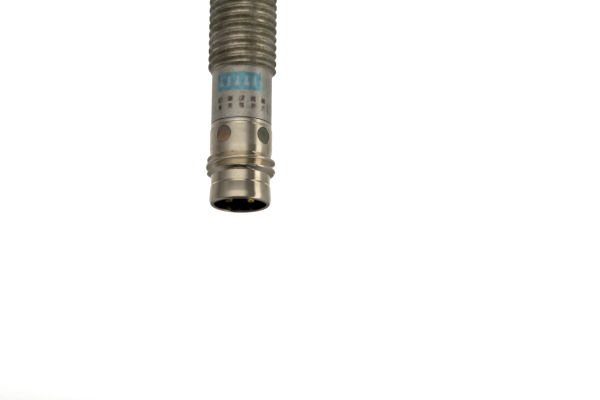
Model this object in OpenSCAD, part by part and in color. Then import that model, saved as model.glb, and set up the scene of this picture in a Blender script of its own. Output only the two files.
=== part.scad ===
// Inductive proximity sensor: an M8 x 1 threaded barrel that ends in a male M8 plug connector.
// The sensing face lies in the plane z = 0, +Z runs along the barrel, and the connector's rim is the top.
// Both outside threads are drawn as rings at the thread's pitch and profile, so that every crest is a
// true cylinder of the major diameter.

/* [Barrel] */
// Overall length, from the sensing face to the connector's rim
length = 60; // [56:1:80]
// Major diameter of the barrel's thread and the connector's thread
thread_d = 7.9; // [7.8:0.05:8]
// Pitch of both threads
pitch = 1; // [0.9:0.05:1]
// Depth of the thread grooves, measured on the radius
thread_depth = 0.6; // [0.5:0.02:0.6]
// Width of the flat on each thread crest
crest_flat = 0.14; // [0.1:0.02:0.2]
// Bore of the barrel
bore_d = 6; // [5.9:0.02:6.02]
// Diameter of the smooth neck that carries the label
neck_d = 6.8; // [6.75:0.05:6.9]
// Thickness of the label
label_t = 0.05; // [0.03:0.01:0.1]
// Length of the bare lip between the label and the barrel's end
lip_h = 0.4; // [0.3:0.05:0.6]
// Height of the chamfer round the sensing face
face_chamfer = 0.5; // [0.3:0.1:0.6]

/* [Connector] */
// Diameter of the collar with the lamp windows
collar_d = 7.1; // [6.9:0.05:7.2]
// Diameter of each lamp window
window_d = 1.95; // [1.6:0.05:2]
// Angle of the first lamp window about the axis
window_angle = -55; // [-90:1:0]
// Angle from the first pair of opposite windows to the second pair
window_spread = 98; // [80:1:100]
// Bore of the plug socket
socket_d = 5.9; // [5.8:0.02:5.9]
// Depth of the socket, from the rim to the insulator
socket_depth = 4.4; // [4:0.1:4.5]
// Largest diameter of the plug sleeve
sleeve_d = 7; // [6.9:0.02:7.04]
// Diameter of a contact pin
pin_d = 1; // [0.9:0.02:1]
// Distance between two neighbouring contact pins
pin_spacing = 2.5; // [2.4:0.05:2.5]
// How far the pin tips lie below the rim
pin_recess = 0.65; // [0.5:0.05:0.8]

/* [Electronics] */
// Thickness of the circuit board
board_t = 0.6; // [0.5:0.1:0.8]
// Width of the circuit board in the barrel
board_w = 4.6; // [4:0.1:4.8]
// Height of the ferrite core
core_h = 2; // [1.8:0.1:2.2]

/* [Nuts and washers] */
// Width across flats of the lock nuts
nut_flats = 13; // [12:0.5:14]
// Thickness of the lock nuts
nut_h = 4; // [3:0.5:5]
// Where the front nut starts, measured from the sensing face
nut_z = 5; // [4.5:0.5:8]
// Gap for the panel between the two washers
panel_gap = 6; // [4:0.5:8]
// Outside diameter of the toothed washers
washer_d = 15; // [14:0.5:16]
// Number of teeth on a washer
washer_teeth = 14; // [10:1:16]

/* [Hidden] */
$fn = 72;
eps = 0.01;

// Clearances: between parts that fit closely, and round parts that are cast or dropped in
fit_gap = 0.01;
play = 0.02;

// Radii
crest_r = thread_d / 2;
root_r = crest_r - thread_depth;
bore_r = bore_d / 2;
neck_r = neck_d / 2;
collar_r = collar_d / 2;
socket_r = socket_d / 2;
sleeve_r = sleeve_d / 2;
pin_r = pin_d / 2;
lamp_bore_r = 2.6;
guide_r = 2.2;
guide_half = 1.15;
lens_sink = 0.015;
core_r = 2.6;
core_post_r = 1;
bobbin_r = core_post_r + 0.2;
core_ring_r = 2.1;
core_back = 0.6;
slot_from_r = 1.85;
slot_w = 0.4;
winding_r = 1.9;
flange_t = 0.12;
pad_x = 1.9;
pin_circle_r = pin_spacing / sqrt(3);
lip_r = neck_r + label_t + 0.01;
relief_r = collar_r - 0.1;
waist_r = root_r;
snap_r = waist_r - 0.04;

// Half widths of a thread groove at the crest and at the root
groove_top = (pitch - crest_flat) / 2;
groove_root = groove_top - thread_depth * tan(30);

// Levels along the axis, counted back from the rim
z_tip = length - pin_recess;
z_insulator = length - socket_depth;
z_snap = length - 2.4;
z_ring_end = length - 3.3;
z_ring_crest = length - 4.8;
z_ring_start = length - 5.3;
z_relief = length - 5.65;
z_collar_end = length - 5.85;
z_carrier = length - 6;
z_band = length - 6.24;
z_window = length - 7.57;
z_collar = length - 8.93;
z_barrel_end = length - 8.95;
z_lip = z_barrel_end - lip_h;
z_spigot = length - 11.4;
z_neck = length - 15.62;
z_thread_end = length - 16;

// Levels along the axis, counted from the sensing face
cap_t = 0.6;
cap_skirt = 4;
z_core = cap_t + play;
z_core_back = z_core + core_h;
z_board = 3.4;
board_tongue_w = 4;
z_resin = 5.4;
z_pads = 6.4;
z_board_step = z_spigot - 0.4;
z_board_end = length - 6.6;

// Leads, pin tails and feet
lead_r = 0.06;
lead_angle = 22.7;
lead_start_r = winding_r + lead_r;
lead_ring_r = 2.385;
z_lead = 1.7;
tail_r = 0.3;
step_r = 0.27;
shoulder_r = 0.68;
foot_y = -0.62;
z_tail_straight = z_window - 0.6;
z_tail_step = z_window - 1.3;
z_resin_end = z_window - 1.4;

// Route of contact pin 4's tail, which steps in to the board's back
STEP_PATH = [
    [0, foot_y, z_tail_step], [0, foot_y, z_window - 0.5],
    [0, -pin_circle_r, z_window + 0.3], [0, -pin_circle_r, z_carrier - 0.2]
];

// Nuts and washers
nut_bore_r = crest_r + 0.05;
washer_bore_r = crest_r + 0.15;
washer_t = 0.6;
tooth_w = 1.5;
tooth_twist = 14;
washer_half = washer_t / 2 * cos(tooth_twist) + tooth_w / 2 * sin(tooth_twist);
seat_gap = 0.03;
z_washer_front = nut_z + nut_h + seat_gap + washer_half;
z_washer_rear = z_washer_front + 2 * washer_half + panel_gap;
z_nut_rear = z_washer_rear + washer_half + seat_gap;

// Angles of contact pins 1, 3 and 4 about the axis
PIN_ANGLES = [30, 150, 270];

// Small parts on the board: [side, place across the board, place along the axis]
CAPACITORS = [[1, 0, 9.2], [1, 0, 19.5], [1, 0, 24.5], [-1, 0, 46]];
RESISTORS = [[-1, -0.9, 9], [-1, 0.9, 9], [-1, 0, 14], [-1, 0, 19], [-1, 0, 24], [1, 0, 30]];
DIODES = [[-1, 0, 31], [-1, 0, 38]];
CAPACITOR_SIZE = [1.25, 0.8, 2];
RESISTOR_SIZE = [0.8, 0.45, 1.6];
DIODE_SIZE = [1.6, 1, 3.4];
OSCILLATOR = [1, 0, 14.2];
OSCILLATOR_SIZE = [3.6, 1.1, 3.2];
TRANSISTOR = [1, 0, 38];
TRANSISTOR_SIZE = [2.5, 1.1, 2.9];
back_led_x = 1.15;
LED_SIZE = [0.8, 0.5, 1.2];

// ---- shared shapes ----

// One thread groove, centred on z, as points of an outline that climbs along the axis
function groove(z) = [
    [crest_r, z - groove_top], [root_r, z - groove_root],
    [root_r, z + groove_root], [crest_r, z + groove_top]
];

// All the points of a list of grooves
function grooves(levels) = [for (z = levels) each groove(z)];

// An arc of points in the outline's plane
function arc(centre, r, a0, a1, steps) = [
    for (i = [0 : steps])
        let (a = a0 + (a1 - a0) * i / steps)
            [centre[0] + r * cos(a), centre[1] + r * sin(a)]
];

module tube(r_out, r_in, z0, z1) {
    translate([0, 0, z0])
        difference() {
            cylinder(r = r_out, h = z1 - z0);
            translate([0, 0, -1])
                cylinder(r = r_in, h = z1 - z0 + 2);
        }
}

// A round bar from point a to point b
module bar(a, b, r) {
    d = b - a;
    translate(a)
        rotate([0, acos(d[2] / norm(d)), atan2(d[1], d[0])])
            cylinder(r = r, h = norm(d), $fn = 24);
}

// Round bars along a list of points, with a slightly fuller ball at each bend
module wire(points, r) {
    for (i = [0 : len(points) - 2])
        bar(points[i], points[i + 1], r);
    for (i = [1 : len(points) - 2])
        translate(points[i])
            sphere(r = 1.1 * r, $fn = 24);
}

// Places a small part with its foot on one face of the board
module on_board(place) {
    translate([place[1], 0, place[2]])
        mirror([0, place[0] < 0 ? 1 : 0, 0])
            translate([0, board_t / 2 + fit_gap, 0])
                children();
}

// A block centred across and along the board, rising from its face
module block(size, grow = 0) {
    translate([-size[0] / 2 - grow, -fit_gap, -size[2] / 2 - grow])
        cube([size[0] + 2 * grow, size[1] + fit_gap + grow, size[2] + 2 * grow]);
}

// ---- sensing head ----

module barrel() {
    last_groove = z_thread_end - crest_flat - groove_top;
    count = floor((last_groove - groove_top - face_chamfer) / pitch) + 1;
    levels = [for (i = [count - 1 : -1 : 0]) last_groove - i * pitch];
    outline = concat(
        [[bore_r, 0], [crest_r - face_chamfer, 0], [crest_r, face_chamfer]],
        grooves(levels),
        [[crest_r, z_thread_end], [neck_r, z_neck], [neck_r, z_lip], [lip_r, z_lip]],
        [[lip_r, z_barrel_end], [bore_r, z_barrel_end]]
    );
    color("#b5a88f")
        rotate_extrude()
            polygon(outline);
}

module face_cap() {
    r = bore_r - play;
    color("#2f6f8c")
        difference() {
            cylinder(r = r, h = cap_skirt);
            translate([0, 0, cap_t])
                cylinder(r = core_r + 2 * play, h = cap_skirt);
        }
}

// The two radial slots that let the winding's ends out of the core
module lead_slots(r_from, z0, z1) {
    for (a = [lead_angle, 180 - lead_angle])
        rotate([0, 0, a])
            translate([r_from, -slot_w / 2, z0])
                cube([1, slot_w, z1 - z0]);
}

module ferrite_core() {
    color("#3a3836")
        difference() {
            translate([0, 0, z_core])
                cylinder(r = core_r, h = core_h);
            tube(core_ring_r, core_post_r, z_core - 1, z_core_back - core_back);
            lead_slots(slot_from_r, z_core - 1, z_core_back + 1);
        }
}

module coil_bobbin() {
    z0 = z_core + play;
    z1 = z_core_back - core_back - play;
    flange_r = core_ring_r - play;
    tube_in_r = core_post_r + play;
    color("#e8e2d0")
        difference() {
            union() {
                tube(bobbin_r, tube_in_r, z0, z1);
                tube(flange_r, tube_in_r, z0, z0 + flange_t);
                tube(flange_r, tube_in_r, z1 - flange_t, z1);
            }
            lead_slots(slot_from_r, z1 - flange_t - eps, z1 + 1);
        }
}

module sensing_coil() {
    z0 = z_core + flange_t + 2 * play;
    z1 = z_core_back - core_back - flange_t - 2 * play;
    r0 = bobbin_r + play;
    turns = 6;
    step = (z1 - z0) / turns;
    r1 = winding_r - step / 2;
    bulges = [for (i = [0 : turns - 1]) each arc([r1, z0 + step * (i + 0.5)], step / 2, -60, 60, 4)];
    color("#b8703a")
        rotate_extrude()
            polygon(concat([[r0, z0], [r1, z0]], bulges, [[r1, z1], [r0, z1]]));
}

// Path of one winding end, from the coil through its slot to its pad on the board
function lead_path(side) =
    let (c = side * cos(lead_angle), s = sin(lead_angle), y_pad = board_t / 2 + lead_r + play)
        [
            [lead_start_r * c, lead_start_r * s, z_lead], [lead_ring_r * c, lead_ring_r * s, z_lead],
            [lead_ring_r * c, lead_ring_r * s, z_resin + 0.2],
            [side * pad_x, y_pad, z_pads], [side * pad_x, y_pad, z_pads + 0.6]
        ];

module coil_leads() {
    color("#c47a3d")
        for (side = [-1, 1])
            wire(lead_path(side), lead_r);
}

module core_carrier() {
    plate_t = 0.65;
    z0 = z_core_back + play;
    jaw_w = 3.4;
    jaw_t = 0.9;
    slot_r = 2.1;
    color("#d9d4c4")
        difference() {
            union() {
                translate([0, 0, z0])
                    cylinder(r = core_r, h = plate_t);
                translate([-jaw_w / 2, -board_t / 2 - jaw_t, z0])
                    cube([jaw_w, board_t + 2 * jaw_t, z_resin - 0.1 - z0]);
            }
            lead_slots(slot_r, z0 - 1, z0 + plate_t + 1);
            circuit_board_shape(fit_gap);
        }
}

// ---- electronics ----

module circuit_board_shape(grow) {
    t = board_t + 2 * grow;
    w = board_w + 2 * grow;
    tongue_w = board_tongue_w + 2 * grow;
    translate([-w / 2, -t / 2, z_board - grow])
        cube([w, t, z_board_step - z_board + 2 * grow]);
    translate([-tongue_w / 2, -t / 2, z_board + 1])
        cube([tongue_w, t, z_board_end - z_board - 1 + grow]);
}

module circuit_board() {
    color("#2e6b3f")
        circuit_board_shape(0);
}

// A moulded chip with legs along its two long sides
module chip(size, legs) {
    foot_l = 0.6;
    riser_t = 0.25;
    stand_off = 0.1;
    leg_w = 0.3;
    leg_t = 0.15;
    body_w = size[0] - 2 * foot_l;
    translate([0, stand_off, 0])
        block([body_w, size[1] - stand_off, size[2]]);
    for (side = [-1, 1])
        for (i = [0 : legs[side < 0 ? 0 : 1] - 1]) {
            n = legs[side < 0 ? 0 : 1];
            z = (i - (n - 1) / 2) * size[2] / max(n, 2);
            translate([side > 0 ? body_w / 2 - eps : -size[0] / 2, 0, z - leg_w / 2])
                cube([foot_l + eps, leg_t, leg_w]);
            translate([side > 0 ? body_w / 2 - eps : -body_w / 2 - riser_t, 0, z - leg_w / 2])
                cube([riser_t + eps, size[1] / 2, leg_w]);
        }
}

// A chip component: a body between two metal ends that stand a little proud
module chip_part(size) {
    end_l = size[2] * 0.2;
    proud = 0.03;
    block([size[0] - 2 * proud, size[1] - proud, size[2] - 2 * proud]);
    for (side = [-1, 1])
        translate([0, 0, side * (size[2] - end_l) / 2])
            block([size[0], size[1], end_l]);
}

module oscillator_chip() {
    color("#26262a")
        on_board(OSCILLATOR)
            chip(OSCILLATOR_SIZE, [4, 4]);
}

module output_transistor() {
    color("#2b2a2e")
        on_board(TRANSISTOR)
            chip(TRANSISTOR_SIZE, [1, 2]);
}

module protection_diodes() {
    color("#1f2024")
        for (place = DIODES)
            on_board(place)
                chip_part(DIODE_SIZE);
}

module chip_capacitors() {
    color("#a98a63")
        for (place = CAPACITORS)
            on_board(place)
                chip_part(CAPACITOR_SIZE);
}

module chip_resistors() {
    color("#3d3f45")
        for (place = RESISTORS)
            on_board(place)
                chip_part(RESISTOR_SIZE);
}

module led(place) {
    on_board(place) {
        block([LED_SIZE[0], LED_SIZE[1] / 2, LED_SIZE[2]]);
        translate([0, LED_SIZE[1] / 2 - eps, 0])
            block([LED_SIZE[0] - 0.1, LED_SIZE[1] / 2, LED_SIZE[2] * 0.6]);
    }
}

module status_led_front() {
    color("#e0a030")
        led([1, 0, z_window]);
}

module status_led_back() {
    color("#60b060")
        led([-1, back_led_x, z_window]);
}

module light_guide() {
    color("#dfe6e2")
        tube(lamp_bore_r - fit_gap, guide_r, z_window - guide_half, z_window + guide_half);
}

// ---- collar and plug connector ----

// Angle of one of the four windows: each pair of opposite windows is drilled in one pass
function window_turn(number) = window_angle + (number % 2) * window_spread + (number > 1 ? 180 : 0);

// A lamp window's lens: a round plug that follows the collar's curve
module lens(turn) {
    intersection() {
        tube(collar_r - lens_sink, lamp_bore_r + fit_gap, z_window - window_d, z_window + window_d);
        window_drill(turn, window_d / 2 - fit_gap);
    }
}

module window_drill(turn, r) {
    translate([0, 0, z_window])
        rotate([0, 90, window_turn(turn)])
            cylinder(r = r, h = collar_r + 1);
}

module lens_amber_1() {
    color("#8a5a2c")
        lens(0);
}

module lens_amber_2() {
    color("#8a5a2c")
        lens(2);
}

module lens_green_1() {
    color("#4a5044")
        lens(3);
}

module lens_green_2() {
    color("#4a5044")
        lens(1);
}

module connector_shell() {
    collar_round = 0.4;
    band_step = 0.02;
    band_taper = 0.06;
    bulge_start = 0.07;
    bulge_low = 1.1;
    bulge_top = 0.85;
    rim_r = 0.45;
    mouth = 0.1;
    outline = concat(
        // spigot in the barrel, then the collar with a slightly smaller band at its end
        [[lamp_bore_r, z_spigot], [bore_r - fit_gap, z_spigot], [bore_r - fit_gap, z_collar]],
        [[relief_r, z_collar], [collar_r, z_collar + collar_round], [collar_r, z_band]],
        [[collar_r - band_step, z_band + band_step], [collar_r - band_taper, z_collar_end]],
        // ring thread with a chamfer at each end
        [[relief_r, z_relief], [relief_r, z_relief + 0.2], [root_r, z_ring_start]],
        [[crest_r, z_ring_crest - crest_flat / 2]],
        groove(z_ring_crest + pitch / 2),
        [[crest_r, z_ring_crest + pitch + crest_flat / 2], [waist_r, z_ring_end]],
        // waist with the snap groove, then the bulging sleeve and its round rim
        [[waist_r, z_snap], [snap_r, z_snap + 0.1], [snap_r, z_snap + 0.2]],
        [[sleeve_r - bulge_start, z_snap + 0.35]],
        [[sleeve_r - band_step, length - bulge_low], [sleeve_r, length - bulge_top]],
        arc([sleeve_r - rim_r, length - rim_r], rim_r, 10, 70, 5),
        [[socket_r + mouth, length], [socket_r, length - mouth], [socket_r, z_carrier]],
        [[lamp_bore_r, z_carrier]]
    );
    color("#c0ae94")
        difference() {
            rotate_extrude()
                polygon(outline);
            for (turn = [0 : 3])
                window_drill(turn, window_d / 2);
        }
}

module at_pin(i) {
    rotate([0, 0, PIN_ANGLES[i]])
        translate([pin_circle_r, 0, 0])
            children();
}

module contact_carrier() {
    z0 = z_carrier + fit_gap;
    key_w = 0.8;
    key_h = 0.9;
    key_r = 2.3;
    color("#1c1a17")
        difference() {
            union() {
                translate([0, 0, z0])
                    cylinder(r = socket_r - fit_gap, h = z_insulator - z0);
                intersection() {
                    tube(socket_r - fit_gap, key_r, z_insulator - eps, z_insulator + key_h);
                    translate([-key_w / 2, 0, z_insulator - eps])
                        cube([key_w, socket_r, key_h + 1]);
                }
            }
            for (i = [0 : 2])
                at_pin(i) {
                    translate([0, 0, z0 - 1])
                        cylinder(r = shoulder_r + fit_gap, h = z_insulator - 0.1 + fit_gap - z0 + 1);
                    translate([0, 0, z0])
                        cylinder(r = pin_r + fit_gap, h = z_insulator - z0 + 1);
                }
        }
}

// A pin: round tip, plug length, shoulder held in the insulator, and a solder tail down to z_tail
module pin_shape(z_tail) {
    tip_r = 0.3;
    outline = concat(
        [[0, z_tail], [tail_r, z_tail], [tail_r, z_carrier + 0.05]],
        [[shoulder_r, z_carrier + 0.05], [shoulder_r, z_insulator - 0.1], [pin_r, z_insulator - 0.1]],
        arc([pin_r - tip_r, z_tip - tip_r], tip_r, 0, 90, 6),
        [[0, z_tip]]
    );
    rotate_extrude()
        polygon(outline);
}

module contact_pin_1() {
    color("#d9a441")
        at_pin(0)
            pin_shape(z_tail_straight);
}

module contact_pin_3() {
    color("#d9a441")
        at_pin(1)
            pin_shape(z_tail_straight);
}

// Pin 4 stands further from the board than the others
module contact_pin_4() {
    color("#d9a441") {
        at_pin(2)
            pin_shape(z_carrier - 0.4);
        wire(STEP_PATH, step_r);
    }
}

// A sleeve of solder round each tail, cut flat where it meets the board
module solder_joints() {
    joint_r = 0.5;
    joint_h = 0.8;
    color("#b9bcc0")
        difference() {
            union() {
                for (i = [0, 1])
                    at_pin(i)
                        tube(joint_r, tail_r + fit_gap, z_tail_straight, z_tail_straight + joint_h);
                translate([0, foot_y, 0])
                    tube(joint_r, step_r + fit_gap, z_tail_step, z_tail_step + joint_h - 0.1);
            }
            circuit_board_shape(fit_gap);
        }
}

module potting_resin() {
    grow = play;
    color("#6b4a2a")
        difference() {
            union() {
                translate([0, 0, z_resin])
                    cylinder(r = bore_r - play, h = z_spigot - play - z_resin);
                translate([0, 0, z_spigot - 0.1])
                    cylinder(r = lamp_bore_r - play, h = z_resin_end - z_spigot + 0.1);
            }
            circuit_board_shape(grow);
            on_board(OSCILLATOR)
                block(OSCILLATOR_SIZE, grow);
            on_board(TRANSISTOR)
                block(TRANSISTOR_SIZE, grow);
            for (place = DIODES)
                on_board(place)
                    block(DIODE_SIZE, grow);
            for (place = CAPACITORS)
                on_board(place)
                    block(CAPACITOR_SIZE, grow);
            for (place = RESISTORS)
                on_board(place)
                    block(RESISTOR_SIZE, grow);
            for (side = [-1, 1])
                wire(lead_path(side), lead_r + grow);
        }
}

module label() {
    r = neck_r + fit_gap;
    label_gap = 0.02;
    color("#b7b2a4")
        tube(r + label_t, r, z_neck + label_gap, z_lip - label_gap);
}

// ---- nuts and washers ----

module lock_nut(z0) {
    corner_r = nut_flats / 2 / cos(30);
    face_r = nut_flats / 2 - 0.25;
    bevel = (corner_r - face_r) * tan(30);
    sink = 0.45;
    color("#b9ad93")
        translate([0, 0, z0])
            difference() {
                intersection() {
                    cylinder(r = corner_r, h = nut_h, $fn = 6);
                    rotate_extrude()
                        polygon([
                            [0, 0], [face_r, 0], [corner_r + eps, bevel],
                            [corner_r + eps, nut_h - bevel], [face_r, nut_h], [0, nut_h]
                        ]);
                }
                translate([0, 0, -1])
                    cylinder(r = nut_bore_r, h = nut_h + 2);
                translate([0, 0, -eps])
                    cylinder(r1 = nut_bore_r + sink, r2 = nut_bore_r, h = sink);
                translate([0, 0, nut_h - sink + eps])
                    cylinder(r1 = nut_bore_r, r2 = nut_bore_r + sink, h = sink);
            }
}

// Toothed lock washer, centred on z, with each tooth twisted about its own radius
module lock_washer(z) {
    tooth_l = 1.7;
    tooth_root = 0.3;
    ring_r = washer_d / 2 - tooth_l;
    color("#a9a79f")
        translate([0, 0, z]) {
            tube(ring_r, washer_bore_r, -washer_t / 2, washer_t / 2);
            for (i = [0 : washer_teeth - 1])
                rotate([0, 0, i * 360 / washer_teeth])
                    rotate([tooth_twist, 0, 0])
                        translate([ring_r - tooth_root, -tooth_w / 2, -washer_t / 2])
                            cube([tooth_root + tooth_l - 0.05, tooth_w, washer_t]);
        }
}

module lock_nut_front() {
    lock_nut(nut_z);
}

module lock_washer_front() {
    lock_washer(z_washer_front);
}

module lock_washer_rear() {
    lock_washer(z_washer_rear);
}

module lock_nut_rear() {
    lock_nut(z_nut_rear);
}

barrel();
face_cap();
ferrite_core();
coil_bobbin();
sensing_coil();
coil_leads();
core_carrier();
circuit_board();
oscillator_chip();
output_transistor();
protection_diodes();
chip_capacitors();
chip_resistors();
status_led_front();
status_led_back();
light_guide();
lens_amber_1();
lens_amber_2();
lens_green_1();
lens_green_2();
connector_shell();
contact_carrier();
contact_pin_1();
contact_pin_3();
contact_pin_4();
solder_joints();
potting_resin();
label();
lock_nut_front();
lock_washer_front();
lock_washer_rear();
lock_nut_rear();
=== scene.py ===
import math

import bmesh
import bpy
from mathutils import Matrix, Vector, noise


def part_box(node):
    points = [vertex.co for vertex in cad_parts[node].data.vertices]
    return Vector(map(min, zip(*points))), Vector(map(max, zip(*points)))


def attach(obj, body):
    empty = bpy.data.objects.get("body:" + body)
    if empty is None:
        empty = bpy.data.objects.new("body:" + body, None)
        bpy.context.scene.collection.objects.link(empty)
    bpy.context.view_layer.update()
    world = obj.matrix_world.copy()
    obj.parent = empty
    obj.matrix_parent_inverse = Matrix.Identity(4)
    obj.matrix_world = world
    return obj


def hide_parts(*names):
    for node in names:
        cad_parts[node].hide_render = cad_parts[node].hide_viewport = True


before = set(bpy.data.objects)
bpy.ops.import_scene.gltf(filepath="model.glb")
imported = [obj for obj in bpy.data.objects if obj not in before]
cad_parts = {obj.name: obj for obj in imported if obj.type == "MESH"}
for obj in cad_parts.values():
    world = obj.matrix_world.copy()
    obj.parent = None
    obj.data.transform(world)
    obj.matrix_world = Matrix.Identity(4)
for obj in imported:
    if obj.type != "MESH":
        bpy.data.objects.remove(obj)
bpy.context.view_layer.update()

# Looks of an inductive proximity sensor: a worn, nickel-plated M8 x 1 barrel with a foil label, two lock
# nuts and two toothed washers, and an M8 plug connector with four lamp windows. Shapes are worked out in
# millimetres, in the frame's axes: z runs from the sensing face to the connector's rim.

scene = bpy.context.scene
MM = 0.001
DEG = math.pi / 180


def low(node):
    """Lowest z of a CAD node, in millimetres."""
    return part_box(node)[0].z / MM


def high(node):
    """Highest z of a CAD node, in millimetres."""
    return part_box(node)[1].z / MM


def radius(node):
    """Largest x of a CAD node on the sensor's axis, in millimetres."""
    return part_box(node)[1].x / MM


# ---- driving dimensions ----

RIM = high("connector_shell")
CREST_R = radius("barrel")
PITCH = 1.0
THREAD_DEPTH = 0.6
ROOT_R = CREST_R - THREAD_DEPTH
CREST_HALF = 0.1
BORE_R = 3.0
NECK_R = 3.4
LIP_R = 3.46
FACE_CHAMFER = 0.5
COLLAR_R = 3.55
BAND_R = 3.53
RELIEF_R = 3.45
WAIST_R = ROOT_R
SNAP_R = WAIST_R - 0.04
SLEEVE_R = 3.5
LAMP_BORE_R = 2.6
SOCKET_R = 2.95
PIN_R = 0.5
PIN_SHOULDER_R = 0.68
PIN_TAIL_R = 0.3
PIN_CIRCLE_R = 2.5 / math.sqrt(3)
PIN_ANGLES = {"contact_pin_1": 30, "contact_pin_3": 150, "contact_pin_4": 270}
WINDOW_R = 0.975

# Angles of the windows: each pair of opposite ones is drilled in one pass
LENSES = {"lens_amber_1": -55, "lens_green_2": 43, "lens_amber_2": 125, "lens_green_1": 223}

BARREL_END = high("barrel")
LIP_START = BARREL_END - 0.4
THREAD_END = RIM - 16
NECK_START = RIM - 15.62
COLLAR_START = RIM - 8.93
BAND_START = RIM - 6.24
COLLAR_END = RIM - 5.85
RELIEF_START = RIM - 5.65
RING_START = RIM - 5.45
RING_END = RIM - 3.3
SNAP_START = RIM - 2.4
SHELL_START = low("connector_shell")
SHELF = RIM - 6
INSULATOR_TOP = RIM - 4.4
WINDOW_Z = (low("lens_amber_1") + high("lens_amber_1")) / 2

# The label's blue band: its lowest edge, its height and the angles of its two ends
BAND_LOW = RIM - 14.8
BAND_HEIGHT = 2.15
BAND_ENDS = (-128.6, -38.0)

# The middle of the label's row of marks
MARKS_Z = RIM - 11.2

# Height of a thread crest above the sensing face at angle 0
BARREL_CREST = 0.56
CONNECTOR_CREST = 54.58

# Distances from a crest, in pitches, at which a thread's profile is drawn
PROFILE_STEPS = [0, 0.06, 0.1, 0.14, 0.2, 0.27, 0.34, 0.4, 0.45]

BARREL_COLUMNS = 96
SHELL_COLUMNS = 180

# Points that are closer than this, in metres, are joined
WELD = 2e-6


# ---- mesh helpers ----

def place(r, angle, z):
    """The point at radius r, angle in degrees and height z."""
    return (r * math.cos(angle * DEG), r * math.sin(angle * DEG), z)


def columns_of(count, start=0.0):
    """Angles of a ring's columns, in degrees."""
    return [start + 360 * j / count for j in range(count)]


def rounded(corners, steps=3):
    """An outline through corners (r, z, fillet), with each filleted corner turned into a curve."""
    outline = []
    for i, (r, z, fillet) in enumerate(corners):
        if not fillet or i in (0, len(corners) - 1):
            outline.append((r, z))
            continue
        corner = Vector((r, z))
        back = Vector(corners[i - 1][:2]) - corner
        ahead = Vector(corners[i + 1][:2]) - corner
        reach = min(fillet, 0.45 * back.length, 0.45 * ahead.length)
        start = corner + back.normalized() * reach
        end = corner + ahead.normalized() * reach
        for k in range(steps + 1):
            t = k / steps
            point = start * (1 - t) ** 2 + corner * 2 * t * (1 - t) + end * t ** 2
            outline.append((point.x, point.y))
    return outline


def smooth(t):
    """An S-curve from 0 at t = 0 to 1 at t = 1."""
    t = min(max(t, 0), 1)
    return t * t * (3 - 2 * t)


class Skin:
    """Points and faces of one piece, gathered in millimetres and joined where they meet."""

    def __init__(self):
        self.points = []
        self.faces = []

    def grid(self, rows, closed=True):
        """Joins rows of points of equal length to each other and, if closed, each row's end to its start."""
        first = len(self.points)
        width = len(rows[0])
        for row in rows:
            self.points.extend(row)
        for i in range(len(rows) - 1):
            for j in range(width if closed else width - 1):
                a = first + i * width + j
                b = first + i * width + (j + 1) % width
                self.faces.append((a, b, b + width, a + width))

    def lathe(self, outline, angles):
        """Turns an outline of (r, z) points about the axis."""
        self.grid([[place(r, a, z) for a in angles] for r, z in outline])

    def thread(self, bottom, top, crest_z, angles, shape):
        """A band whose rows climb with a right-hand thread.

        shape(u, z) is the radius at u pitches from a crest and at height z.
        """
        steps = sorted([-u for u in PROFILE_STEPS[1:]] + PROFILE_STEPS + [0.5])
        # Rows beyond either end, which make up for the climb, are pressed onto that end
        lowest = math.floor((bottom - crest_z) / PITCH) - 3
        highest = math.ceil((top - crest_z) / PITCH) + 2
        rows = []
        for turn in range(lowest, highest):
            for u in steps:
                row = []
                for angle in [*angles, angles[0] + 360]:
                    z = crest_z + PITCH * (turn + u + angle / 360)
                    z = min(max(z, bottom), top)
                    off = (z - crest_z) / PITCH - angle / 360
                    row.append(place(shape(off - round(off), z), angle, z))
                rows.append(row)
        self.grid(rows, closed=False)

    def build(self, name, sharp=38):
        """The mesh object, welded, with normals outwards. Edges beyond sharp degrees are kept sharp."""
        mesh = bpy.data.meshes.new(name)
        mesh.from_pydata([Vector(p) * MM for p in self.points], [], self.faces)
        work = bmesh.new()
        work.from_mesh(mesh)
        bmesh.ops.remove_doubles(work, verts=work.verts, dist=WELD)
        bmesh.ops.dissolve_degenerate(work, edges=work.edges, dist=WELD / 10)
        bmesh.ops.recalc_face_normals(work, faces=work.faces)
        work.to_mesh(mesh)
        work.free()
        mesh.shade_smooth()
        mesh.set_sharp_from_angle(angle=sharp * DEG)
        piece = bpy.data.objects.new(name, mesh)
        scene.collection.objects.link(piece)
        return piece


def fit(piece, body, slot, *nodes):
    """Gives a finished piece its slot and the finish of that name, its body and the CAD nodes it replaces."""
    piece.data.materials.append(FINISHES[slot])
    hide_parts(*nodes)
    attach(piece, body)


def thread_height(u):
    """Height of a worn 60 degree thread, from 0 at the root to 1 at the crest, u pitches from a crest."""
    crest_soft = 0.1
    root_soft = 0.5
    run = THREAD_DEPTH * math.tan(30 * DEG)
    t = (CREST_HALF + run - abs(u) * PITCH) / run
    t = (t + math.hypot(t, root_soft)) / 2
    return 1 - (1 - t + math.hypot(1 - t, crest_soft)) / 2


def nicks(r, spot, depth=0.05):
    """Radius of a crest with small dents knocked into it, where a random field is above its threshold."""
    threshold = 0.32
    span = 0.3
    field = noise.noise(Vector(spot) * 1.7)
    return r - depth * max(0, field - threshold) / span


# ---- node helpers for the materials ----

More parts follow.
